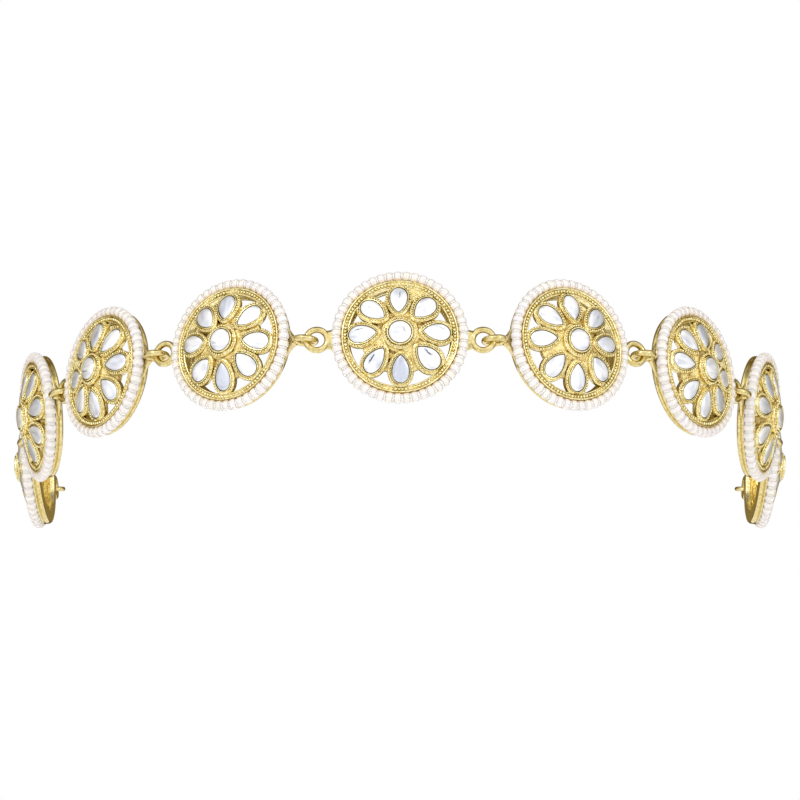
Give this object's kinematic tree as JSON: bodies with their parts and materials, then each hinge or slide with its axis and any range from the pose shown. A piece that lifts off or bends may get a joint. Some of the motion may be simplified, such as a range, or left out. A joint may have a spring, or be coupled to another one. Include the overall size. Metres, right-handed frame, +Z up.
{
  "type": "matha patti",
  "caption": "Head jewel worn along the hairline: a curved band of round openwork medallions with pear-shaped clear stones and seed pearl rims, joined by small loops, with a hook at each end.",
  "frame": {"origin": "centre of the front medallion's flat back, where the band sits on the hairline", "axes": "+Z up, -Y the way the wearer looks, +X to the right as seen from in front"},
  "size_m": [0.1756, 0.1335, 0.0553],
  "materials": {
    "gilt_metal": "gold-plated brass alloy, granulated and polished",
    "clear_stone": "clear stone with a silvered back, smooth and gently domed",
    "seed_pearl": "cream pearl lustre"
  },
  "bodies": {
    "root": {"front_setting": "gilt_metal", "front_centre_stone": "clear_stone", "front_pearl_ring": "seed_pearl", "left_1_setting": "gilt_metal", "left_1_centre_stone": "clear_stone", "left_1_pearl_ring": "seed_pearl", "left_2_setting": "gilt_metal", "left_2_centre_stone": "clear_stone", "left_2_pearl_ring": "seed_pearl", "left_3_setting": "gilt_metal", "left_3_centre_stone": "clear_stone", "left_3_pearl_ring": "seed_pearl", "left_4_setting": "gilt_metal", "left_4_centre_stone": "clear_stone", "left_4_pearl_ring": "seed_pearl", "left_hair_hook": "gilt_metal", "right_1_setting": "gilt_metal", "right_1_centre_stone": "clear_stone", "right_1_pearl_ring": "seed_pearl", "right_2_setting": "gilt_metal", "right_2_centre_stone": "clear_stone", "right_2_pearl_ring": "seed_pearl", "right_3_setting": "gilt_metal", "right_3_centre_stone": "clear_stone", "right_3_pearl_ring": "seed_pearl", "right_4_setting": "gilt_metal", "right_4_centre_stone": "clear_stone", "right_4_pearl_ring": "seed_pearl", "right_hair_hook": "gilt_metal"}
  },
  "joints": []
}
